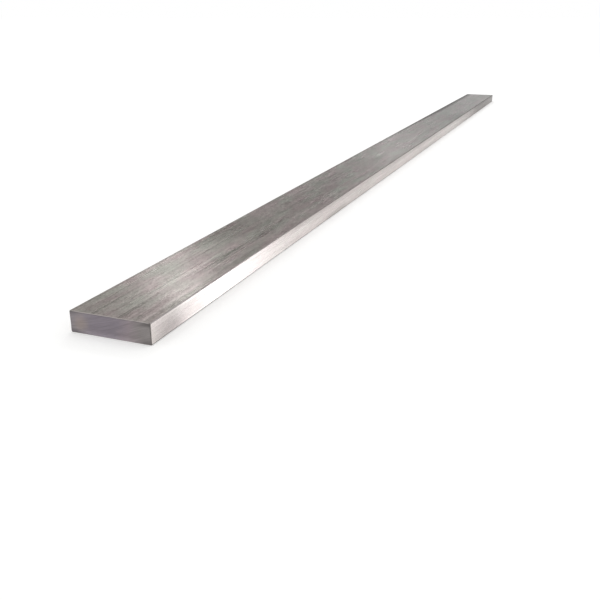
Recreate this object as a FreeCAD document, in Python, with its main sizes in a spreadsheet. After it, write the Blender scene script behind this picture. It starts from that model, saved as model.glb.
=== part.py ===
import FreeCAD, Part
import math
import os
import Sketcher

# Steel flat bar: one length of bright flat stock with a rectangular section, long edges that are
# slightly rounded as rolled and drawn, and two square-sawn ends that are lightly deburred.
# Millimetres. The bar lies flat on its wide face: X is its width, Y its length and Z its thickness.
# The origin is the middle of the underside, and the near end is at -Y.

PARTS_FOLDER = "parts"
SHEET_NAME = "Sizes"

# Driving dimensions, written once into the sheet: alias, size and what it is
DRIVING_DIMENSIONS = (
    ("bar_width", 40.0, "Width of the wide faces, over the rounded edges"),
    ("bar_thickness", 10.0, "Thickness between the wide faces"),
    ("bar_length", 1000.0, "Cut length over both sawn ends"),
    ("arris_radius", 0.5, "Radius of the four long edges"),
    ("deburr_size", 0.3, "Chamfer left round each end by the file"),
)

# Two places closer than this are the same place
SAME_PLACE = 1e-4


def make_sheet(doc):
    """The sheet that holds every driving dimension, each cell with its alias."""
    sheet = doc.addObject("Spreadsheet::Sheet", SHEET_NAME)
    for row, (alias, size, meaning) in enumerate(DRIVING_DIMENSIONS, start=1):
        sheet.set(f"A{row}", meaning)
        sheet.set(f"B{row}", str(size))
        sheet.setAlias(f"B{row}", alias)
    doc.recompute()
    return sheet


def origin_plane(body, role):
    """One of the body's own origin planes."""
    return next(plane for plane in body.Origin.OriginFeatures if plane.Role == role)


def draw_section(body, sheet):
    """The rectangular section, standing on the X axis and centred on the Z axis."""
    sketch = body.newObject("Sketcher::SketchObject", "section")
    sketch.AttachmentSupport = [(origin_plane(body, "XZ_Plane"), "")]
    sketch.MapMode = "FlatFace"

    half_width = sheet.bar_width / 2
    corners = [
        FreeCAD.Vector(-half_width, 0, 0),
        FreeCAD.Vector(half_width, 0, 0),
        FreeCAD.Vector(half_width, sheet.bar_thickness, 0),
        FreeCAD.Vector(-half_width, sheet.bar_thickness, 0),
    ]
    underside, right_edge, top, left_edge = (
        sketch.addGeometry(Part.LineSegment(start, end), False)
        for start, end in zip(corners, corners[1:] + corners[:1])
    )
    start_point, end_point = 1, 2
    sketch_origin = (-1, 1)

    for line, next_line in (
        (underside, right_edge),
        (right_edge, top),
        (top, left_edge),
        (left_edge, underside),
    ):
        sketch.addConstraint(
            Sketcher.Constraint("Coincident", line, end_point, next_line, start_point)
        )
    for line in (underside, top):
        sketch.addConstraint(Sketcher.Constraint("Horizontal", line))
    for line in (right_edge, left_edge):
        sketch.addConstraint(Sketcher.Constraint("Vertical", line))
    sketch.addConstraint(
        Sketcher.Constraint("Symmetric", underside, start_point, underside, end_point, *sketch_origin)
    )

    width = sketch.addConstraint(
        Sketcher.Constraint("DistanceX", underside, start_point, underside, end_point, sheet.bar_width)
    )
    sketch.setExpression(f"Constraints[{width}]", f"{SHEET_NAME}.bar_width")
    thickness = sketch.addConstraint(
        Sketcher.Constraint("DistanceY", right_edge, start_point, right_edge, end_point, sheet.bar_thickness)
    )
    sketch.setExpression(f"Constraints[{thickness}]", f"{SHEET_NAME}.bar_thickness")
    return sketch


def roll_bar(body, section):
    """The section drawn out to the bar's length, as much on one side of the origin as on the other."""
    bar = body.newObject("PartDesign::Pad", "rolled_length")
    bar.Profile = section
    bar.SideType = "Symmetric"
    bar.setExpression("Length", f"{SHEET_NAME}.bar_length")
    return bar


def long_edges(shape):
    """Names of the edges that run along the bar."""
    return [
        f"Edge{number}"
        for number, edge in enumerate(shape.Edges, start=1)
        if isinstance(edge.Curve, Part.Line) and abs(abs(edge.Curve.Direction.y) - 1) < SAME_PLACE
    ]


def end_edges(shape):
    """Names of the edges that run round the two ends of the bar."""
    box = shape.BoundBox
    return [
        f"Edge{number}"
        for number, edge in enumerate(shape.Edges, start=1)
        if any(
            all(abs(vertex.Y - end) < SAME_PLACE for vertex in edge.Vertexes)
            for end in (box.YMin, box.YMax)
        )
    ]


def round_long_edges(body, bar):
    """The small radius that the rolls and the die leave on the four long edges."""
    rounding = body.newObject("PartDesign::Fillet", "long_edge_rounding")
    rounding.Base = (bar, long_edges(bar.Shape))
    rounding.setExpression("Radius", f"{SHEET_NAME}.arris_radius")
    return rounding


def deburr_ends(body, bar):
    """The narrow chamfer that a file leaves round each sawn end."""
    deburring = body.newObject("PartDesign::Chamfer", "end_deburring")
    deburring.Base = (bar, end_edges(bar.Shape))
    deburring.setExpression("Size", f"{SHEET_NAME}.deburr_size")
    return deburring


def make_flat_bar(doc, sheet):
    """The whole bar, as one body."""
    body = doc.addObject("PartDesign::Body", "flat_bar")
    body.Label = "flat_bar"
    section = draw_section(body, sheet)
    doc.recompute()
    bar = roll_bar(body, section)
    doc.recompute()
    rounded = round_long_edges(body, bar)
    doc.recompute()
    deburr_ends(body, rounded)
    doc.recompute()
    return body


def check_document(doc):
    """Stops the build if any object of the document failed to compute."""
    failed = [item.Name for item in doc.Objects if {"Invalid", "Error"} & set(item.State)]
    if failed:
        raise RuntimeError(f"these objects failed to compute: {failed}")


def check_flat_bar(body, sheet):
    """Stops the build unless the bar is one valid solid of the stated size and volume."""
    shape = body.Shape
    if shape.isNull() or not shape.isValid() or len(shape.Solids) != 1:
        raise RuntimeError(f"{body.Label} is not one valid solid")
    box = shape.BoundBox
    for measured, stated in (
        (box.XLength, sheet.bar_width),
        (box.YLength, sheet.bar_length),
        (box.ZLength, sheet.bar_thickness),
    ):
        if abs(measured - stated) > SAME_PLACE:
            raise RuntimeError(f"{body.Label} measures {measured} where {stated} was stated")
    rounded_off = (4 - math.pi) * sheet.arris_radius**2
    section_area = sheet.bar_width * sheet.bar_thickness - rounded_off
    section_outline = 2 * (sheet.bar_width + sheet.bar_thickness)
    filed_off = section_outline * sheet.deburr_size**2
    volume = section_area * sheet.bar_length - filed_off
    if abs(shape.Volume - volume) > filed_off:
        raise RuntimeError(f"{body.Label} holds {shape.Volume} mm3 where {volume} was expected")


def export(body):
    """Writes the sub-part as STEP, in a file named after its label."""
    os.makedirs(PARTS_FOLDER, exist_ok=True)
    path = os.path.join(PARTS_FOLDER, f"{body.Label}.step")
    body.Shape.exportStep(path)
    print(f"{path}: {body.Shape.Volume:.1f} mm3, {len(body.Shape.Faces)} faces")


def main():
    doc = FreeCAD.newDocument("steel_flat_bar")
    sheet = make_sheet(doc)
    flat_bar = make_flat_bar(doc, sheet)
    check_document(doc)
    check_flat_bar(flat_bar, sheet)
    export(flat_bar)


main()
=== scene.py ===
import math

import bpy
import numpy as np
from bpy.props import FloatProperty, FloatVectorProperty, IntProperty, PointerProperty
from bpy.types import Operator, Panel, PropertyGroup
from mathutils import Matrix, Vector


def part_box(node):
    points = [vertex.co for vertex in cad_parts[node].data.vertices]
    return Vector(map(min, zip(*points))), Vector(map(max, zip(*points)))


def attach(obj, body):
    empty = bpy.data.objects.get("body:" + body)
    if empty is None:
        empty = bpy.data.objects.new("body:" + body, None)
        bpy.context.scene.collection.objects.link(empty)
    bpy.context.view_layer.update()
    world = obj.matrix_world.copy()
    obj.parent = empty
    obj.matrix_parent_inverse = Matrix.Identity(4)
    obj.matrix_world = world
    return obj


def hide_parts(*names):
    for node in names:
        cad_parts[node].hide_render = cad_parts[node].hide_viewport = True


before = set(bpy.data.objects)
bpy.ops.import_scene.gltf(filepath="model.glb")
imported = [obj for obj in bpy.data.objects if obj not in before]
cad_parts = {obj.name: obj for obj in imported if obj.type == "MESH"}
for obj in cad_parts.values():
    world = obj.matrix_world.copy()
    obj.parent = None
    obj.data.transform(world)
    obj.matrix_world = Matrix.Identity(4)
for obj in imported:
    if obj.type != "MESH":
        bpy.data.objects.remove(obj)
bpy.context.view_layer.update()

bl_info = {
    "name": "Steel flat bar",
    "version": (1, 0, 0),
    "blender": (4, 5, 0),
    "location": "View3D > Sidebar > Flat bar",
    "description": "A length of bright steel flat bar with a drawn grain and sawn ends, on a studio floor",
    "category": "Add Mesh",
}

# The bar lies along Y on its wide face, with its near end at -Y. Metres.
BAR_NODE = "flat_bar"
BAR_BODY = "root"
BAR_LOW, BAR_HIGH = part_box(BAR_NODE)
BAR_SIZE = BAR_HIGH - BAR_LOW

MM = 0.001
AROUND_MAP = "around_and_along"

# Places of the bar's finishes in its list of materials
WIDE_FACE, NARROW_FACE, LONG_EDGE, SAWN_END, FILED_EDGE = range(5)

# Where the rings of the filed bevel lie, as shares of its size from the end
BEVEL_RINGS = (0.0, 0.35, 0.7, 1.0)

# How far the middle of the blade lies aside of and above the cut, as shares of the saw's radius
BLADE_ASIDE, BLADE_UP = 0.30, 0.95

# The curve from a screen's values to linear light: straight up to its knee and a power above it
CURVE_KNEE, CURVE_SLOPE, CURVE_LIFT, CURVE_POWER = 0.04045, 12.92, 0.055, 2.4

# Width of the camera's picture that its lens is given for, in millimetres
PICTURE_WIDTH = 36.0

# Sockets of a colour mix, which Blender tells apart by number only
MIX_FACTOR, MIX_FIRST, MIX_SECOND, MIX_RESULT = 0, 6, 7, 2


def linear(part):
    """One part of a colour as linear light, from how it shows on a screen. Both run from 0 to 1."""
    if part <= CURVE_KNEE:
        return part / CURVE_SLOPE
    return ((part + CURVE_LIFT) / (1 + CURVE_LIFT)) ** CURVE_POWER


def tone(red, green, blue):
    """A colour written from 0 to 255 as it shows on a screen, in the linear values that shaders take."""
    return tuple(linear(part / 255) for part in (red, green, blue))


def length_setting(name, description, default):
    """A length that a user may change."""
    return FloatProperty(
        name=name, description=description, default=default, min=0.0, unit="LENGTH", precision=5
    )


def angle_setting(name, description, degrees):
    """An angle that a user may change."""
    return FloatProperty(name=name, description=description, default=math.radians(degrees), unit="ROTATION")


def share_setting(name, description, default):
    """A share that a user may change, where 1 is the whole."""
    return FloatProperty(name=name, description=description, default=default, min=0.0)


def count_setting(name, description, default, least):
    """A whole number that a user may change."""
    return IntProperty(name=name, description=description, default=default, min=least)


def colour_setting(name, description, default):
    """A colour that a user may change."""
    return FloatVectorProperty(
        name=name, description=description, default=default, size=3, min=0.0, max=1.0, subtype="COLOR"
    )


class FlatBarSizes(PropertyGroup):
    """Sizes of the bar and of the marks that drawing and sawing leave on it."""

    width: length_setting("Width", "Width of the wide faces, over the rounded edges", BAR_SIZE.x)
    length: length_setting("Length", "Length over both sawn ends", BAR_SIZE.y)
    thickness: length_setting("Thickness", "Thickness between the wide faces", BAR_SIZE.z)
    arris_radius: length_setting("Arris radius", "Radius of the four long edges", 0.5 * MM)
    deburr_size: length_setting("Deburring", "Bevel that the file leaves round each end", 0.3 * MM)
    draw_line_depth: length_setting("Draw lines", "Depth of the die's lines along the bar", 0.008 * MM)
    saw_mark_depth: length_setting("Saw marks", "Depth of the saw's marks across the ends", 0.035 * MM)
    saw_mark_pitch: length_setting("Saw mark pitch", "Distance from one saw mark to the next", 1.1 * MM)
    saw_radius: length_setting("Saw radius", "Distance of the marks from the middle of the blade", 150 * MM)
    columns: count_setting("Columns", "Faces across each wide face", default=160, least=8)
    rows: count_setting("Rows", "Faces up each narrow face", default=38, least=4)
    arris_steps: count_setting("Arris steps", "Faces round each long edge", default=6, least=2)


class FlatBarColours(PropertyGroup):
    """Colours of the bar's finishes, as they show under a plain white light."""

    wide_face: colour_setting("Wide faces", "Drawn steel of the two wide faces", tone(143, 137, 133))
    # Partly brighter drawn steel and partly a painted reflection: far lighter than the wide faces to stand
    # in for the bright light the sides mirror
    narrow_face: colour_setting("Narrow faces", "Brighter steel of the narrow faces", tone(219, 212, 210))
    sawn_end: colour_setting("Sawn ends", "Steel where the saw has cut it", tone(140, 134, 137))
    sawn_warm: colour_setting("Warm tint", "Tint where the saw first heats the steel", tone(156, 145, 140))
    sawn_violet: colour_setting("Violet tint", "Tint where the saw has heated it more", tone(136, 129, 136))
    sawn_pink: colour_setting("Pink tint", "Tint where the cut cools again", tone(146, 136, 140))
    sawn_grey: colour_setting("Grey tint", "Steel where the saw leaves the cut", tone(141, 136, 135))
    filed_edge: colour_setting("Filed edges", "Bare steel of the bevel round the ends", tone(174, 168, 165))


class StudioSettings(PropertyGroup):
    """The floor, the lamps and the camera."""

    floor_size: length_setting("Floor", "Side of the square floor", 60.0)
    floor_colour: colour_setting("Floor colour", "Plain pale floor", tone(243, 243, 242))
    surround: share_setting("Surround", "Light of the room, where 1 is white", 0.88)
    lamp_level: share_setting("Lamps", "Share of the lamps' full brightness", 1.03)
    lamp_colour: colour_setting("Lamp colour", "Slightly cool white of every lamp", (0.95, 0.97, 1.0))
    camera_lens: FloatProperty(
        name="Lens", description="Focal length for a picture that is 36 mm wide", default=44.54
    )
    camera_dip: angle_setting("Camera dip", "How far the camera looks down", 20.96)
    camera_turn: angle_setting("Camera turn", "How far the camera is turned left of the bar's length", 21.40)
    camera_place: FloatVectorProperty(
        name="Camera place", description="Where the camera stands",
        default=(0.1782, -0.7368, 0.1268), unit="LENGTH",
    )


# The mesh of the bar


def unevenness(places, seed, longest, count):
    """A smooth random curve through places, from about -1 to 1: waves of the longest length and shorter."""
    draw = np.random.default_rng(seed)
    total = np.zeros(np.shape(places))
    for number in range(1, count + 1):
        phase = draw.uniform(0, 2 * math.pi)
        wave_length = longest / (number * draw.uniform(0.8, 1.2))
        height = draw.uniform(0.6, 1.0)
        total += height * np.sin(2 * math.pi * places / wave_length + phase)
    return total / math.sqrt(count)


def section_outline(sizes):
    """The bar's section as (across, up, outward across, outward up) rows, from the underside round."""
    side = sizes.width / 2
    radius = sizes.arris_radius
    flat_half, flat_top = side - radius, sizes.thickness - radius
    across = np.linspace(-flat_half, flat_half, sizes.columns + 1)
    up = np.linspace(radius, flat_top, sizes.rows + 1)
    turns = np.linspace(0, math.pi / 2, sizes.arris_steps + 1)[1:-1]
    rows = []

    def add_flat(xs, zs, outward):
        for x, z in zip(xs, zs):
            rows.append((x, z, *outward))

    def add_arris(centre_x, centre_z, first_angle):
        for turn in turns:
            out_x, out_z = math.cos(first_angle + turn), math.sin(first_angle + turn)
            rows.append((centre_x + radius * out_x, centre_z + radius * out_z, out_x, out_z))

    add_flat(across, np.zeros(across.shape), (0, -1))
    add_arris(flat_half, radius, -math.pi / 2)
    add_flat(np.full(up.shape, side), up, (1, 0))
    add_arris(flat_half, flat_top, 0)
    add_flat(across[::-1], np.full(across.shape, sizes.thickness), (0, 1))
    add_arris(-flat_half, flat_top, math.pi / 2)
    add_flat(np.full(up.shape, -side), up[::-1], (-1, 0))
    add_arris(-flat_half, radius, math.pi)
    return np.array(rows)


def places_along(sizes):
    """Distances of the rings from the middle of the bar's length, close together at the ends."""
    from_end = [share * sizes.deburr_size for share in BEVEL_RINGS]
    step = sizes.deburr_size
    longest_step = 9 * MM
    growth = 1.35
    while from_end[-1] + step < sizes.length / 2:
        from_end.append(from_end[-1] + step)
        step = min(step * growth, longest_step)
    near_half = np.array(from_end) - sizes.length / 2
    return np.concatenate([near_half, -near_half[::-1]])


def bevel_inset(sizes, from_end, around):
    """How far the filed bevel cuts in at a distance from the end, with the unevenness of a file."""
    rounded_part, straight_part = 0.35, 0.55
    uneven_part, least, most = 0.18, 0.6, 1.2
    share = np.clip(1 - from_end / sizes.deburr_size, 0, 1)
    rounded = 1 - math.sqrt(1 - share**2)
    uneven = unevenness(around, seed=11, longest=26 * MM, count=9)
    handwork = np.clip(1 + uneven_part * uneven, least, most)
    return sizes.deburr_size * (rounded_part * rounded + straight_part * share * handwork)


def draw_line_relief(sizes, around, along):
    """Depth of the die's lines below the outline: the same lines all along the bar, fading in and out."""
    shift_round = 40
    fine = unevenness(around, seed=21, longest=1.3 * MM, count=5)
    wide = unevenness(around, seed=22, longest=9 * MM, count=7)
    lines = 0.5 + 0.25 * fine + 0.25 * wide
    fade = 0.75 + 0.25 * unevenness(along + shift_round * around, seed=23, longest=310 * MM, count=5)
    return sizes.draw_line_depth * np.clip(lines * fade, 0, 1.5)


def saw_relief(sizes, across, up, side):
    """Depth of the saw's marks below the end's plane: uneven arcs about the middle of the blade."""
    to_left = across * side
    reach = np.hypot(to_left + BLADE_ASIDE * sizes.saw_radius, up - BLADE_UP * sizes.saw_radius)
    chatter = 0.9 * unevenness(to_left, seed=31, longest=30 * MM, count=4)
    fine_pitch, fine_part = 0.37 * sizes.saw_mark_pitch, 0.25
    marks = 0.5 + 0.5 * np.sin(2 * math.pi * reach / sizes.saw_mark_pitch + chatter)
    fine_marks = 0.5 + 0.5 * np.sin(2 * math.pi * reach / fine_pitch + 2 * chatter)
    patchy = unevenness(to_left + 0.6 * up, seed=32, longest=45 * MM, count=5)
    usual, patchy_part, least, most = 0.6, 0.35, 0.15, 1.0
    strength = np.clip(usual + patchy_part * patchy, least, most)
    return sizes.saw_mark_depth * ((1 - fine_part) * marks + fine_part * fine_marks) * strength


def bar_rings(sizes):
    """Every ring's vertices, and their distances round the section with the whole way round last."""
    outline = section_outline(sizes)
    steps = np.roll(outline, -1, axis=0) - outline
    around = np.concatenate([[0], np.cumsum(np.hypot(steps[:, 0], steps[:, 1]))])
    run_in = 4 * sizes.deburr_size
    rings = []
    for place in places_along(sizes):
        from_end = sizes.length / 2 - abs(place)
        inset = bevel_inset(sizes, from_end, around[:-1])
        settled = np.clip(from_end / run_in, 0, 1)
        depth = inset + settled * draw_line_relief(sizes, around[:-1], place)
        x = outline[:, 0] - outline[:, 2] * depth
        z = outline[:, 1] - outline[:, 3] * depth
        rings.append(np.column_stack([x, np.full(x.shape, place), z]))
    return np.array(rings), around


def end_grid(sizes, side):
    """The inner vertices of a sawn end, row by row, on the same columns and rows as the faces round it."""
    flat_half = sizes.width / 2 - sizes.arris_radius
    across = np.linspace(-flat_half, flat_half, sizes.columns + 1)
    up = np.linspace(sizes.arris_radius, sizes.thickness - sizes.arris_radius, sizes.rows + 1)
    grid_x, grid_z = np.meshgrid(across, up)
    depth = saw_relief(sizes, grid_x, grid_z, side)
    grid_y = side * (sizes.length / 2 - depth)
    return np.stack([grid_x, grid_y, grid_z], axis=-1)


def long_faces(ring_count, ring_size):
    """The faces between each ring and the next, and which ring and which place in it each starts from."""
    faces, starts = [], []
    for ring in range(ring_count - 1):
        first, second = ring * ring_size, (ring + 1) * ring_size
        for place in range(ring_size):
            following = (place + 1) % ring_size
            faces.append((first + place, first + following, second + following, second + place))
            starts.append((ring, place))
    return faces, starts


def end_faces(sizes, ring_start, grid_start, side):
    """The faces of a sawn end: its grid, the strips from the grid's borders to the ring, and the corners."""
    columns, rows, arc = sizes.columns, sizes.rows, sizes.arris_steps
    right, top = columns + arc, columns + arc + rows + arc
    left = top + columns + arc
    ring_size = left + rows + arc

    def grid(column, row):
        return grid_start + row * (columns + 1) + column

    def ring(place):
        return ring_start + place % ring_size

    faces = []
    for row in range(rows):
        for column in range(columns):
            first, second = grid(column, row), grid(column + 1, row)
            third, fourth = grid(column + 1, row + 1), grid(column, row + 1)
            faces.append((first, second, third, fourth))
    borders = (
        (0, [grid(column, 0) for column in range(columns + 1)]),
        (right, [grid(columns, row) for row in range(rows + 1)]),
        (top, [grid(column, rows) for column in range(columns, -1, -1)]),
        (left, [grid(0, row) for row in range(rows, -1, -1)]),
    )
    for start, border in borders:
        for step in range(len(border) - 1):
            place = start + step
            faces.append((ring(place), ring(place + 1), border[step + 1], border[step]))
        corner = border[-1]
        corner_start = start + len(border) - 1
        for place in range(corner_start, corner_start + arc):
            faces.append((ring(place), ring(place + 1), corner))
    return faces if side < 0 else [face[::-1] for face in faces]


def finish_of_place(sizes, place):
    """Which finish a long face has, from its place round the section."""
    half_round = (
        (sizes.columns, WIDE_FACE),
        (sizes.arris_steps, LONG_EDGE),
        (sizes.rows, NARROW_FACE),
        (sizes.arris_steps, LONG_EDGE),
    )
    for count, finish in half_round + half_round:
        if place < count:
            return finish
        place -= count
    raise RuntimeError("the section has more places than faces")


def bar_mesh(sizes):
    """The whole bar as one closed mesh, with a finish for each face and a map of around and along."""
    rings, around = bar_rings(sizes)
    ring_count, ring_size = rings.shape[:2]
    near_grid, far_grid = (end_grid(sizes, side).reshape(-1, 3) for side in (-1, 1))
    vertices = np.concatenate([rings.reshape(-1, 3), near_grid, far_grid])
    vertices[:, 2] += BAR_LOW.z
    near_start = ring_count * ring_size
    far_start = near_start + len(near_grid)
    last_ring = near_start - ring_size

    faces, starts = long_faces(ring_count, ring_size)
    bevel_steps = len(BEVEL_RINGS) - 1
    finishes = [
        FILED_EDGE
        if ring < bevel_steps or ring >= ring_count - 1 - bevel_steps
        else finish_of_place(sizes, place)
        for ring, place in starts
    ]
    for ring_start, grid_start, side in ((0, near_start, -1), (last_ring, far_start, 1)):
        added = end_faces(sizes, ring_start, grid_start, side)
        faces.extend(added)
        finishes.extend([SAWN_END] * len(added))

    mesh = bpy.data.meshes.new("drawn_bar")
    mesh.from_pydata(vertices.tolist(), [], faces)
    mesh.polygons.foreach_set("material_index", np.array(finishes, dtype=np.int32))
    mesh.polygons.foreach_set("use_smooth", np.ones(len(faces), dtype=bool))
    add_around_map(mesh, around, ring_count, ring_size)
    if mesh.validate():
        raise RuntimeError("the bar's mesh had faulty faces")
    mesh.update()
    return mesh


def add_around_map(mesh, around, ring_count, ring_size):
    """Maps each long face by its distance round the section and along the bar, for the grain to follow."""
    layer = mesh.uv_layers.new(name=AROUND_MAP)
    long_vertices = ring_count * ring_size
    for face in mesh.polygons:
        vertices = [mesh.loops[loop].vertex_index for loop in face.loop_indices]
        places = [vertex % ring_size for vertex in vertices]
        on_ring = all(vertex < long_vertices for vertex in vertices)
        wraps = {0, ring_size - 1} <= set(places)
        for loop, vertex, place in zip(face.loop_indices, vertices, places):
            point = mesh.vertices[vertex].co
            if on_ring:
                whole_way_round = wraps and place == 0
                layer.data[loop].uv = (around[ring_size if whole_way_round else place], point.y)
            else:
                layer.data[loop].uv = (point.x, point.z)


# Building blocks of the finishes


def add_node(tree, kind, **settings):
    """A new node of a shader tree, with its settings."""
    node = tree.nodes.new(kind)
    for name, value in settings.items():
        setattr(node, name, value)
    return node


def feed(tree, source, socket):
    """Sets a socket from another node's socket or from a plain value."""
    if isinstance(source, bpy.types.NodeSocket):
        tree.links.new(source, socket)
    else:
        socket.default_value = source


def maths(tree, operation, first, second=0.0, third=0.0, clamp=False):
    """The result of one arithmetic step."""
    node = add_node(tree, "ShaderNodeMath", operation=operation, use_clamp=clamp)
    for socket, value in zip(node.inputs, (first, second, third)):
        feed(tree, value, socket)
    return node.outputs[0]


def vector_maths(tree, operation, first, second=(0.0, 0.0, 0.0)):
    """The result of one vector step: a number for a length or a distance, and a vector for any other."""
    node = add_node(tree, "ShaderNodeVectorMath", operation=operation)
    feed(tree, first, node.inputs[0])
    feed(tree, second, node.inputs[1])
    return node.outputs["Value" if operation in ("LENGTH", "DISTANCE") else "Vector"]


def stretch(tree, value, old, new):
    """A value moved from one range to another, each as (start, end), and held inside the new one."""
    node = add_node(tree, "ShaderNodeMapRange")
    for socket, number in zip(node.inputs, (value, *old, *new)):
        feed(tree, number, socket)
    return node.outputs[0]


def split(tree, place):
    """A place's three parts: across the bar, along it and up."""
    node = add_node(tree, "ShaderNodeSeparateXYZ")
    feed(tree, place, node.inputs[0])
    return tuple(node.outputs)


def place_on_bar(tree):
    """The place on the bar in its own frame, in metres."""
    return add_node(tree, "ShaderNodeTexCoord").outputs["Object"]


def speckle(tree, place, across, along, detail, seed):
    """Random variation around zero, with spots of the given size across the bar and along it."""
    moved_by_seed = (seed * 3.7, seed * 1.9, seed * 5.3)
    scaled = add_node(tree, "ShaderNodeMapping", vector_type="POINT")
    feed(tree, place, scaled.inputs["Vector"])
    scaled.inputs["Scale"].default_value = (1 / across, 1 / along, 1 / across)
    scaled.inputs["Location"].default_value = moved_by_seed
    noise = add_node(tree, "ShaderNodeTexNoise", noise_dimensions="3D")
    feed(tree, scaled.outputs["Vector"], noise.inputs["Vector"])
    noise.inputs["Scale"].default_value = 1.0
    noise.inputs["Detail"].default_value = detail
    noise.inputs["Roughness"].default_value = 0.55
    return maths(tree, "SUBTRACT", noise.outputs[0], 0.5)


def layered(tree, place, layers):
    """The sum of several speckles, each as (across, along, detail, weight, seed), around zero."""
    total = 0.0
    for across, along, detail, weight, seed in layers:
        grain = speckle(tree, place, across, along, detail, seed)
        total = maths(tree, "MULTIPLY_ADD", grain, weight, total)
    return total


def grey(level):
    """A plain grey for a colour socket."""
    return (level, level, level, 1.0)


def with_alpha(colour):
    """A plain colour with the fourth number that a colour socket takes. A node's socket stays as it is."""
    return colour if isinstance(colour, bpy.types.NodeSocket) else (*colour, 1.0)


def blend_colours(tree, factor, first, second, blend="MIX"):
    """One colour over another by a factor."""
    mix = add_node(tree, "ShaderNodeMix", data_type="RGBA", blend_type=blend)
    feed(tree, factor, mix.inputs[MIX_FACTOR])
    feed(tree, with_alpha(first), mix.inputs[MIX_FIRST])
    feed(tree, with_alpha(second), mix.inputs[MIX_SECOND])
    return mix.outputs[MIX_RESULT]


def lightened(colour, by):
    """A plain colour times a number, with no part of it above 1."""
    return tuple(min(1.0, part * by) for part in colour)


def varied(tree, colour, shares, by):
    """A plain colour that goes darker and lighter by a part of itself as the shares go from 0 to 1."""
    return blend_colours(tree, shares, lightened(colour, 1 - by), lightened(colour, 1 + by))


def scaled_colour(tree, colour, by):
    """A colour that changes over the surface, times a number that changes too."""
    node = add_node(tree, "ShaderNodeVectorMath", operation="SCALE")
    feed(tree, colour, node.inputs[0])
    feed(tree, by, node.inputs["Scale"])
    return node.outputs[0]


def bump(tree, height, depth):
    """A surface direction tilted by a height pattern of the given depth."""
    node = add_node(tree, "ShaderNodeBump")
    node.inputs["Distance"].default_value = depth
    feed(tree, height, node.inputs["Height"])
    return node.outputs["Normal"]


def bare_steel(name):
    """A new material with a metal shader, as (material, tree, shader)."""
    material = bpy.data.materials.new(name)
    material.use_nodes = True
    tree = material.node_tree
    tree.nodes.clear()
    shader = add_node(tree, "ShaderNodeBsdfPrincipled")
    output = add_node(tree, "ShaderNodeOutputMaterial")
    tree.links.new(shader.outputs["BSDF"], output.inputs["Surface"])
    shader.inputs["Metallic"].default_value = 1.0
    return material, tree, shader


def brush_along(tree, shader, amount):
    """Stretches the shine across the bar, as grain that runs along it does."""
    tangent = add_node(tree, "ShaderNodeTangent", direction_type="UV_MAP", uv_map=AROUND_MAP)
    feed(tree, tangent.outputs["Tangent"], shader.inputs["Tangent"])
    shader.inputs["Anisotropic"].default_value = amount


# The finishes: each grain layer is (size across, length along, detail, weight, seed)

WIDE_GRAIN = (
    (0.5 * MM, 1.2 * MM, 3.0, 1.4, 1),
    (1.2 * MM, 4 * MM, 2.0, 0.45, 22),
    (1.6 * MM, 8 * MM, 2.0, 0.40, 24),
    (0.8 * MM, 45 * MM, 2.0, 0.28, 2),
    (2.4 * MM, 100 * MM, 2.0, 0.24, 26),
    (6 * MM, 70 * MM, 2.0, 0.20, 4),
)
DIE_LINES = (
    (0.9 * MM, 230 * MM, 2.0, 0.33, 31),
    (2.2 * MM, 260 * MM, 2.0, 0.6, 32),
    (4.5 * MM, 300 * MM, 2.0, 0.6, 33),
)
NARROW_GRAIN = (
    (0.6 * MM, 1.5 * MM, 3.0, 0.8, 5),
    (1.6 * MM, 12 * MM, 2.0, 0.5, 25),
    (0.9 * MM, 60 * MM, 2.0, 0.6, 6),
    (3 * MM, 60 * MM, 2.0, 0.7, 7),
)
FINE_SCRATCHES = (
    (0.09 * MM, 20 * MM, 2.0, 0.6, 8),
    (0.30 * MM, 60 * MM, 2.0, 1.0, 9),
)
WEAR = (
    (1.1 * MM, 90 * MM, 2.0, 0.45, 13),
    (14 * MM, 60 * MM, 2.0, 0.30, 14),
)
FILE_STROKES = (
    (0.5 * MM, 0.12 * MM, 2.0, 0.6, 18),
    (3 * MM, 3 * MM, 2.0, 0.6, 19),
)

# The same for the saw's arcs, with the size from one arc to the next and the length along an arc
SAW_ARCS = (
    (0.22 * MM, 7 * MM, 2.0, 0.8, 15),
    (0.8 * MM, 16 * MM, 2.0, 0.7, 16),
)

# How far the sums of the layers go to each side of zero
GRAIN_RANGE = (-0.35, 0.35)
MIRRORED_GRAIN_RANGE = (-0.4, 0.4)
ARC_RANGE = (-0.3, 0.3)

# How deep the fine scratches, the saw's arcs and the file's strokes go
SCRATCH_DEPTH, ARC_DEPTH, STROKE_DEPTH = 0.006 * MM, 0.04 * MM, 0.01 * MM

# The faint tints of drawn steel, as shares of its colour
WARM_TINT, COOL_TINT = (1.005, 0.955, 0.970), (0.965, 1.0, 0.970)

# Patches of painted shade, each as (middle, half sizes, how dark its middle is)
ANY_DEPTH = 1.0
WIDE_SHADE_PATCHES = (
    ((17 * MM, -480 * MM, 0.0), (9 * MM, 14 * MM, ANY_DEPTH), 0.10),
    ((-8 * MM, -432 * MM, 0.0), (11 * MM, 26 * MM, ANY_DEPTH), 0.08),
    ((-12 * MM, -356 * MM, 0.0), (26 * MM, 34 * MM, ANY_DEPTH), 0.12),
    ((0.0, -245 * MM, 0.0), (15 * MM, 100 * MM, ANY_DEPTH), 0.085),
    ((14 * MM, 205 * MM, 0.0), (18 * MM, 50 * MM, ANY_DEPTH), 0.10),
)
NARROW_SHADE_PATCHES = (
    ((0.0, -485 * MM, 0.5 * MM), (ANY_DEPTH, 13 * MM, 11.5 * MM), 0.27),
    ((0.0, -262 * MM, 1.0 * MM), (ANY_DEPTH, 36 * MM, 3.2 * MM), 0.15),
)

# Where a patch starts to fade and where it has gone, as shares of its half sizes
PATCH_FADE = (0.4, 1.1)


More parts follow.
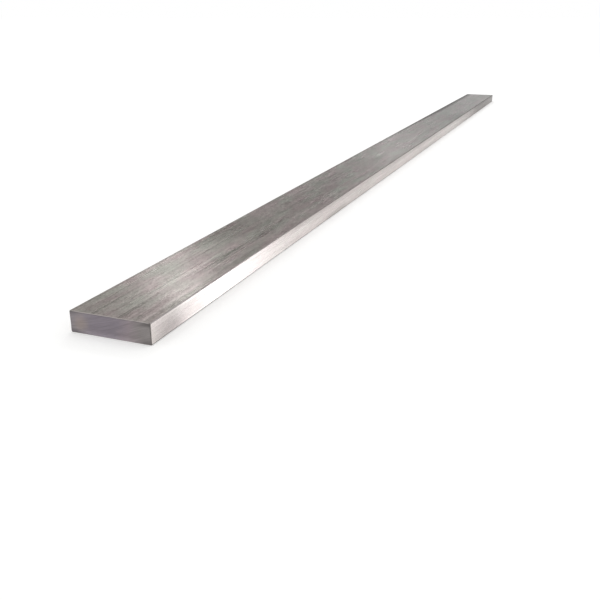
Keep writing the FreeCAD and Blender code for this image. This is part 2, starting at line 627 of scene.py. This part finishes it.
def painted_shade_patches(tree, place, patches):
    """The share of the colour that soft oval patches of painted shade leave."""
    share = 1.0
    for middle, half_sizes, darkness in patches:
        from_middle = vector_maths(tree, "SUBTRACT", place, middle)
        reach = vector_maths(tree, "LENGTH", vector_maths(tree, "DIVIDE", from_middle, half_sizes))
        left = stretch(tree, reach, PATCH_FADE, (1.0 - darkness, 1.0))
        share = maths(tree, "MULTIPLY", share, left)
    return share


def milder(tree, share, part):
    """A share of painted shade, with only a part of its darkening kept."""
    return maths(tree, "MULTIPLY_ADD", share, part, 1.0 - part)


def lined_near_end(tree, place, grain, lines):
    """Grain that is calmer at the near end, with the die's long lines over it, which are stronger there."""
    _, along, _ = split(tree, place)
    calm = stretch(tree, along, (-450 * MM, -400 * MM), (0.72, 1.0))
    strong = stretch(tree, along, (-410 * MM, -290 * MM), (1.0, 0.12))
    drawn = maths(tree, "MULTIPLY", layered(tree, place, lines), strong)
    return maths(tree, "MULTIPLY_ADD", grain, calm, drawn)


def wide_painted_shade(tree, place):
    """Painted shade on a wide face, in a few patches and toward the far end; darker along its left border.

    The first share is for a look straight at the metal and the second for a look along it.
    """
    across, along, _ = split(tree, place)
    border_start = BAR_LOW.x + 0.8 * MM
    border_width = stretch(tree, along, (50 * MM, 300 * MM), (2.4 * MM, 8 * MM))
    from_border = maths(tree, "DIVIDE", maths(tree, "SUBTRACT", across, border_start), border_width)
    near_border = stretch(tree, from_border, (0.0, 1.0), (1.0, 0.0))
    border_darkening = stretch(tree, along, (-350 * MM, 250 * MM), (0.0, 0.65))
    border = maths(tree, "SUBTRACT", 1.0, maths(tree, "MULTIPLY", near_border, border_darkening))
    far_end = stretch(tree, along, (20 * MM, 220 * MM), (1.0, 0.88))
    along_the_metal = maths(tree, "MULTIPLY", border, far_end)
    patches = painted_shade_patches(tree, place, WIDE_SHADE_PATCHES)
    return (
        maths(tree, "MULTIPLY", milder(tree, along_the_metal, part=0.35), patches),
        maths(tree, "MULTIPLY", along_the_metal, patches),
    )


def narrow_painted_shade(tree, place):
    """Painted shade on a narrow face: low down at the near end, along its upper border and toward the far
    end.

    The shares are for a look straight at the metal and along it, as those of a wide face.
    """
    _, along, up = split(tree, place)
    far_end = stretch(tree, along, (190 * MM, 360 * MM), (1.0, 0.58))
    upper_border = stretch(tree, up, (0.55 * BAR_SIZE.z, 0.85 * BAR_SIZE.z), (0.0, 0.10))
    past_shine = stretch(tree, along, (-400 * MM, -340 * MM), (0.0, 1.0))
    border = maths(tree, "SUBTRACT", 1.0, maths(tree, "MULTIPLY", upper_border, past_shine))
    everywhere = maths(tree, "MULTIPLY", border, painted_shade_patches(tree, place, NARROW_SHADE_PATCHES))
    return (
        maths(tree, "MULTIPLY", milder(tree, far_end, part=0.5), everywhere),
        maths(tree, "MULTIPLY", far_end, everywhere),
    )


def warm_and_cool(tree, place, amount):
    """The faint tints of drawn steel, in clouds that are longer than wide."""
    cloud = speckle(tree, place, across=6 * MM, along=24 * MM, detail=2.0, seed=12)
    cool_share = stretch(tree, cloud, (-0.15, 0.15), (0.5 - amount / 2, 0.5 + amount / 2))
    return blend_colours(tree, cool_share, WARM_TINT, COOL_TINT)


def drawn_steel(
    name, colour, grain, *, edge_tint, roughness, brushed, spread, clouded, painted_shade=None, lines=None
):
    """Steel drawn through a die: streaks of lighter and darker metal along the bar and a shine across them.

    Spread says how far the streaks go from the colour, clouded how far the tints do and edge_tint how much
    the metal mirrors for a look along it.
    """
    material, tree, shader = bare_steel(name)
    place = place_on_bar(tree)
    streaks = layered(tree, place, grain)
    if lines is not None:
        streaks = lined_near_end(tree, place, streaks, lines)
    metal = varied(tree, colour, stretch(tree, streaks, GRAIN_RANGE, (0.0, 1.0)), spread)
    tint = warm_and_cool(tree, place, clouded)
    metal = blend_colours(tree, 1.0, metal, tint, "MULTIPLY")
    shader.inputs["Specular Tint"].default_value = grey(edge_tint)
    # Painted shade, where given, darkens the colour and the mirroring in places
    if painted_shade is not None:
        straight, along_the_metal = painted_shade(tree, place)
        metal = scaled_colour(tree, metal, straight)
        mirrored_spread = 0.8 * spread
        dark_and_light = (edge_tint * (1 - mirrored_spread), edge_tint * (1 + mirrored_spread))
        mirrored_grain = stretch(tree, streaks, MIRRORED_GRAIN_RANGE, dark_and_light)
        mirrored = maths(tree, "MULTIPLY", along_the_metal, mirrored_grain)
        feed(tree, scaled_colour(tree, tint, mirrored), shader.inputs["Specular Tint"])
    feed(tree, metal, shader.inputs["Base Color"])
    wear = layered(tree, place, WEAR)
    worn = maths(tree, "MULTIPLY_ADD", wear, roughness, roughness, clamp=True)
    feed(tree, worn, shader.inputs["Roughness"])
    scratches = layered(tree, place, FINE_SCRATCHES)
    feed(tree, bump(tree, scratches, SCRATCH_DEPTH), shader.inputs["Normal"])
    brush_along(tree, shader, brushed)
    return material


def sawn_steel(sizes, colours):
    """Steel as the saw leaves it: dull, with arcs from the blade, patches tinted by its heat and painted
    shade in its corners.
    """
    material, tree, shader = bare_steel("sawn_steel")
    place = place_on_bar(tree)
    arcs = layered(tree, place_on_arcs(tree, place, sizes), SAW_ARCS)
    steel = heat_tints(tree, place, colours)
    for share in (
        stretch(tree, arcs, ARC_RANGE, (0.84, 1.16)),
        light_strip(tree, place, sizes),
        scorched_corner(tree, place, sizes),
        painted_corner_shade(tree, place, sizes),
    ):
        steel = scaled_colour(tree, steel, share)
    feed(tree, steel, shader.inputs["Base Color"])
    feed(tree, stretch(tree, arcs, ARC_RANGE, (0.56, 0.44)), shader.inputs["Roughness"])
    feed(tree, bump(tree, arcs, ARC_DEPTH), shader.inputs["Normal"])
    shader.inputs["Specular Tint"].default_value = grey(0.6)
    return material


def place_on_arcs(tree, place, sizes):
    """The place on a sawn end as its distance from the middle of the blade and its place across."""
    blade = (-BLADE_ASIDE * sizes.saw_radius, 0.0, BLADE_UP * sizes.saw_radius)
    in_the_cut = (1.0, 0.0, 1.0)
    from_blade = vector_maths(tree, "MULTIPLY", vector_maths(tree, "SUBTRACT", place, blade), in_the_cut)
    across, _, _ = split(tree, place)
    arc_place = add_node(tree, "ShaderNodeCombineXYZ")
    feed(tree, vector_maths(tree, "LENGTH", from_blade), arc_place.inputs[0])
    feed(tree, across, arc_place.inputs[1])
    return arc_place.outputs[0]


def heat_tints(tree, place, colours):
    """The faint tints of the saw's heat, one after another across the cut, with wandering borders."""
    across, _, _ = split(tree, place)
    wander = speckle(tree, place, across=9 * MM, along=9 * MM, detail=2.0, seed=17)
    wandering = maths(tree, "MULTIPLY_ADD", wander, 16 * MM, across)
    ramp = add_node(tree, "ShaderNodeValToRGB")
    feed(tree, stretch(tree, wandering, (-BAR_SIZE.x / 2, BAR_SIZE.x / 2), (0.0, 1.0)), ramp.inputs[0])
    tints_across = (
        (0.08, colours.sawn_end),
        (0.30, colours.sawn_violet),
        (0.52, colours.sawn_violet),
        (0.68, colours.sawn_pink),
        (0.92, colours.sawn_grey),
    )
    stops = ramp.color_ramp.elements
    ready_made = len(stops)
    for number, (position, colour) in enumerate(tints_across):
        stop = stops[number] if number < ready_made else stops.new(position)
        stop.position = position
        stop.color = (*colour, 1.0)
    warm_spot = (-0.37 * BAR_SIZE.x, BAR_LOW.y, 0.5 * BAR_SIZE.z)
    from_spot = vector_maths(tree, "DISTANCE", place, warm_spot)
    wandering_reach = maths(tree, "MULTIPLY_ADD", wander, 5 * MM, from_spot)
    warm = stretch(tree, wandering_reach, (1.5 * MM, 4.8 * MM), (0.8, 0.0))
    return blend_colours(tree, warm, ramp.outputs["Color"], tuple(colours.sawn_warm))


def light_strip(tree, place, sizes):
    """A share above 1 that makes a ragged strip at the bottom of the cut lighter."""
    across, _, up = split(tree, place)
    ragged = speckle(tree, place, across=4 * MM, along=4 * MM, detail=2.0, seed=20)
    ragged_height = maths(tree, "MULTIPLY_ADD", ragged, 1.5 * MM, up)
    strip = stretch(tree, ragged_height, (0.9 * MM, 2.6 * MM), (1.0, 0.0))
    from_left = stretch(tree, across, (-0.43 * sizes.width, -0.30 * sizes.width), (0.0, 1.0))
    to_right = stretch(tree, across, (0.20 * sizes.width, 0.42 * sizes.width), (1.0, 0.15))
    inside = maths(tree, "MULTIPLY", from_left, to_right)
    gain = 0.44
    return maths(tree, "MULTIPLY_ADD", maths(tree, "MULTIPLY", strip, inside), gain, 1.0)


def scorched_corner(tree, place, sizes):
    """A share below 1 in a sloping mark near the top right of the cut, where the blade scorched it."""
    across, _, up = split(tree, place)
    slope = -0.10
    height = maths(tree, "MULTIPLY_ADD", across, slope, up)
    lower_edge = stretch(tree, height, (0.58 * sizes.thickness, 0.68 * sizes.thickness), (0.0, 1.0))
    upper_edge = stretch(tree, height, (0.71 * sizes.thickness, 0.79 * sizes.thickness), (1.0, 0.0))
    at_right = stretch(tree, across, (0.24 * sizes.width, 0.44 * sizes.width), (0.0, 1.0))
    mark = maths(tree, "MULTIPLY", maths(tree, "MULTIPLY", lower_edge, upper_edge), at_right)
    loss = 0.27
    return maths(tree, "MULTIPLY_ADD", mark, -loss, 1.0)


def painted_corner_shade(tree, place, sizes):
    """Painted shade: a share below 1 in the four corners of the cut."""
    across, _, up = split(tree, place)
    share_across = maths(tree, "DIVIDE", maths(tree, "ABSOLUTE", across), sizes.width / 2)
    share_up = maths(tree, "ABSOLUTE", maths(tree, "MULTIPLY_ADD", up, 2 / sizes.thickness, -1.0))
    return stretch(tree, maths(tree, "MULTIPLY", share_across, share_up), (0.45, 0.80), (1.0, 0.72))


def filed_steel(colours):
    """Bare steel of the bevel that the file leaves round the ends: bright, with short uneven strokes."""
    material, tree, shader = bare_steel("filed_steel")
    place = place_on_bar(tree)
    strokes = layered(tree, place, FILE_STROKES)
    bare = varied(tree, tuple(colours.filed_edge), stretch(tree, strokes, GRAIN_RANGE, (0.0, 1.0)), by=0.15)
    across, _, _ = split(tree, place)
    half = BAR_SIZE.x / 2
    from_middle = maths(tree, "ABSOLUTE", across)
    touched = stretch(tree, from_middle, (half - 1.2 * MM, half - 0.5 * MM), (1.0, 0.5))
    feed(tree, scaled_colour(tree, bare, touched), shader.inputs["Base Color"])
    feed(tree, stretch(tree, strokes, GRAIN_RANGE, (0.46, 0.38)), shader.inputs["Roughness"])
    feed(tree, bump(tree, strokes, STROKE_DEPTH), shader.inputs["Normal"])
    shader.inputs["Specular Tint"].default_value = grey(0.5)
    return material


def bar_finishes(sizes, colours):
    """The bar's materials, in the order that its faces name them."""
    wide_colour, narrow_colour = tuple(colours.wide_face), tuple(colours.narrow_face)
    wide = drawn_steel(
        "drawn_steel_wide", wide_colour, WIDE_GRAIN,
        edge_tint=0.67, roughness=0.29, brushed=1.0, spread=0.45, clouded=1.0,
        painted_shade=wide_painted_shade, lines=DIE_LINES,
    )
    narrow = drawn_steel(
        "drawn_steel_narrow", narrow_colour, NARROW_GRAIN,
        edge_tint=0.82, roughness=0.27, brushed=1.0, spread=0.14, clouded=0.3, painted_shade=narrow_painted_shade,
    )
    # The long edges take the narrow faces' colour made darker: painted shade that dims the shine along them
    edge = drawn_steel(
        "drawn_steel_edge_shaded", lightened(narrow_colour, by=0.47), NARROW_GRAIN,
        edge_tint=0.15, roughness=0.5, brushed=0.3, spread=0.14, clouded=0.3,
    )
    return wide, narrow, edge, sawn_steel(sizes, colours), filed_steel(colours)


# The stage


def seen_or_mirrored(tree):
    """1 for a ray from the camera, a mirroring surface or glass, and 0 for light that falls on things."""
    path = add_node(tree, "ShaderNodeLightPath")
    seen = maths(tree, "MAXIMUM", path.outputs["Is Camera Ray"], path.outputs["Is Glossy Ray"])
    return maths(tree, "MAXIMUM", seen, path.outputs["Is Transmission Ray"])


def light_the_room(studio):
    """A white surround that lights the bar at a plain level."""
    world = bpy.data.worlds.new("studio_surround")
    bpy.context.scene.world = world
    world.use_nodes = True
    tree = world.node_tree
    tree.nodes.clear()
    surround = add_node(tree, "ShaderNodeBackground")
    surround.inputs["Color"].default_value = grey(1.0)
    strength = stretch(tree, seen_or_mirrored(tree), (0.0, 1.0), (studio.surround, 1.0))
    feed(tree, strength, surround.inputs["Strength"])
    output = add_node(tree, "ShaderNodeOutputWorld")
    tree.links.new(surround.outputs["Background"], output.inputs["Surface"])


def pale_floor(studio):
    """A matt material for the floor, lifted to white where it is seen or mirrored."""
    material = bpy.data.materials.new("pale_floor")
    material.use_nodes = True
    tree = material.node_tree
    tree.nodes.clear()
    matt = add_node(tree, "ShaderNodeBsdfDiffuse")
    matt.inputs["Color"].default_value = with_alpha(studio.floor_colour)
    lift = add_node(tree, "ShaderNodeEmission")
    lift.inputs["Color"].default_value = grey(1.0)
    just_over_white = 1.02
    green = studio.floor_colour[1]
    gap = just_over_white - studio.surround * green
    feed(tree, maths(tree, "MULTIPLY", seen_or_mirrored(tree), gap), lift.inputs["Strength"])
    both = add_node(tree, "ShaderNodeAddShader")
    output = add_node(tree, "ShaderNodeOutputMaterial")
    tree.links.new(matt.outputs[0], both.inputs[0])
    tree.links.new(lift.outputs[0], both.inputs[1])
    tree.links.new(both.outputs[0], output.inputs["Surface"])
    return material


def lay_floor(studio):
    """The pale floor, at the height that the bar lies on."""
    half = studio.floor_size / 2
    height = BAR_LOW.z
    corners = [(-half, -half, height), (half, -half, height), (half, half, height), (-half, half, height)]
    mesh = bpy.data.meshes.new("studio_floor")
    mesh.from_pydata(corners, [], [(0, 1, 2, 3)])
    mesh.materials.append(pale_floor(studio))
    floor = bpy.data.objects.new("studio_floor", mesh)
    bpy.context.scene.collection.objects.link(floor)


def lamp_place(target, from_length, about_length, distance):
    """A place at a distance from the target, at an angle from the bar's length and turned about it.

    The turn starts at the right. Brushed metal shines across the place where the camera and the lamp
    make the same angle with the bar's length.
    """
    outward = distance * math.sin(from_length)
    return (
        target[0] + outward * math.cos(about_length),
        target[1] + distance * math.cos(from_length),
        target[2] + outward * math.sin(about_length),
    )


def hang_lamp(
    studio, name, target, *, from_length, about_length, distance, width, height, beam, brightness
):
    """A soft lamp turned to a target, with angles in degrees. Brightness 1 looks white in a mirror."""
    half_beam = math.radians(beam) / 2
    watts_for_white = 4.0
    in_beam = 1 - half_beam / math.tan(half_beam)
    data = bpy.data.lights.new(name, "AREA")
    data.color = studio.lamp_colour
    data.shape = "RECTANGLE"
    data.size = width
    data.size_y = height
    data.spread = 2 * half_beam
    data.energy = brightness * studio.lamp_level * watts_for_white * width * height * in_beam
    place = lamp_place(target, math.radians(from_length), math.radians(about_length), distance)
    lamp = bpy.data.objects.new(name, data)
    lamp.location = place
    lamp.rotation_euler = (Vector(target) - Vector(place)).to_track_quat("-Z", "Y").to_euler()
    lamp.visible_camera = False
    bpy.context.scene.collection.objects.link(lamp)


def hang_lamps(studio):
    """Soft lamps beyond the bar: one for its top, two for its right side and a weak one for its middle."""
    near_top = (0.0, BAR_LOW.y + 50 * MM, BAR_HIGH.z)
    near_side = (BAR_HIGH.x, BAR_LOW.y + 70 * MM, BAR_SIZE.z / 2)
    middle_top = (0.0, -60 * MM, BAR_HIGH.z)
    hang_lamp(
        studio, "top_lamp", near_top, from_length=36.5, about_length=115, distance=2.0,
        width=0.12, height=0.15, beam=180, brightness=30.0,
    )
    hang_lamp(
        studio, "right_lamp", near_side, from_length=34.4, about_length=5, distance=2.0,
        width=0.13, height=0.12, beam=28, brightness=84.0,
    )
    hang_lamp(
        studio, "right_tail_lamp", near_side, from_length=28.5, about_length=5, distance=2.0,
        width=0.06, height=0.12, beam=28, brightness=27.0,
    )
    hang_lamp(
        studio, "middle_lamp", middle_top, from_length=17.5, about_length=122, distance=2.5,
        width=0.12, height=0.12, beam=180, brightness=3.7,
    )


def stand_camera(studio):
    """The camera at the photograph's viewing angle."""
    data = bpy.data.cameras.new("camera")
    data.sensor_width = PICTURE_WIDTH
    data.lens = studio.camera_lens
    data.clip_start = 10 * MM
    data.clip_end = 200.0
    camera = bpy.data.objects.new("camera", data)
    camera.location = studio.camera_place
    level = math.pi / 2
    camera.rotation_euler = (level - studio.camera_dip, 0.0, studio.camera_turn)
    bpy.context.scene.collection.objects.link(camera)
    bpy.context.scene.camera = camera


class FLATBAR_OT_draw_bar(Operator):
    """Make the drawn bar with its sawn ends and its finishes, in place of the plain solid"""

    bl_idname = "flat_bar.draw_bar"
    bl_label = "Drawn bar"

    def execute(self, context):
        sizes = context.scene.flat_bar_sizes
        colours = context.scene.flat_bar_colours
        bar = bpy.data.objects.new("drawn_bar", bar_mesh(sizes))
        for material in bar_finishes(sizes, colours):
            bar.data.materials.append(material)
        context.scene.collection.objects.link(bar)
        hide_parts(BAR_NODE)
        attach(bar, BAR_BODY)
        return {"FINISHED"}


class FLATBAR_OT_set_stage(Operator):
    """Set the pale floor, the soft lamps and the camera round the bar"""

    bl_idname = "flat_bar.set_stage"
    bl_label = "Studio stage"

    def execute(self, context):
        studio = context.scene.flat_bar_studio
        context.scene.view_settings.view_transform = "Standard"
        light_the_room(studio)
        lay_floor(studio)
        hang_lamps(studio)
        stand_camera(studio)
        return {"FINISHED"}


class FLATBAR_PT_workshop(Panel):
    """The bar's sizes and colours, with a button for each step"""

    bl_idname = "FLATBAR_PT_workshop"
    bl_label = "Steel flat bar"
    bl_space_type = "VIEW_3D"
    bl_region_type = "UI"
    bl_category = "Flat bar"

    def draw(self, context):
        layout = self.layout
        scene = context.scene
        for title, settings, step in (
            ("Sizes", scene.flat_bar_sizes, None),
            ("Colours", scene.flat_bar_colours, FLATBAR_OT_draw_bar),
            ("Studio", scene.flat_bar_studio, FLATBAR_OT_set_stage),
        ):
            box = layout.box()
            box.label(text=title)
            for name in settings.__annotations__:
                box.prop(settings, name)
            if step is not None:
                box.operator(step.bl_idname)


CLASSES = (
    FlatBarSizes,
    FlatBarColours,
    StudioSettings,
    FLATBAR_OT_draw_bar,
    FLATBAR_OT_set_stage,
    FLATBAR_PT_workshop,
)


def register():
    for item in CLASSES:
        bpy.utils.register_class(item)
    bpy.types.Scene.flat_bar_sizes = PointerProperty(type=FlatBarSizes)
    bpy.types.Scene.flat_bar_colours = PointerProperty(type=FlatBarColours)
    bpy.types.Scene.flat_bar_studio = PointerProperty(type=StudioSettings)


def unregister():
    del bpy.types.Scene.flat_bar_studio
    del bpy.types.Scene.flat_bar_colours
    del bpy.types.Scene.flat_bar_sizes
    for item in reversed(CLASSES):
        bpy.utils.unregister_class(item)


def main():
    register()
    bpy.ops.flat_bar.draw_bar()
    bpy.ops.flat_bar.set_stage()


if __name__ == "__main__":
    main()
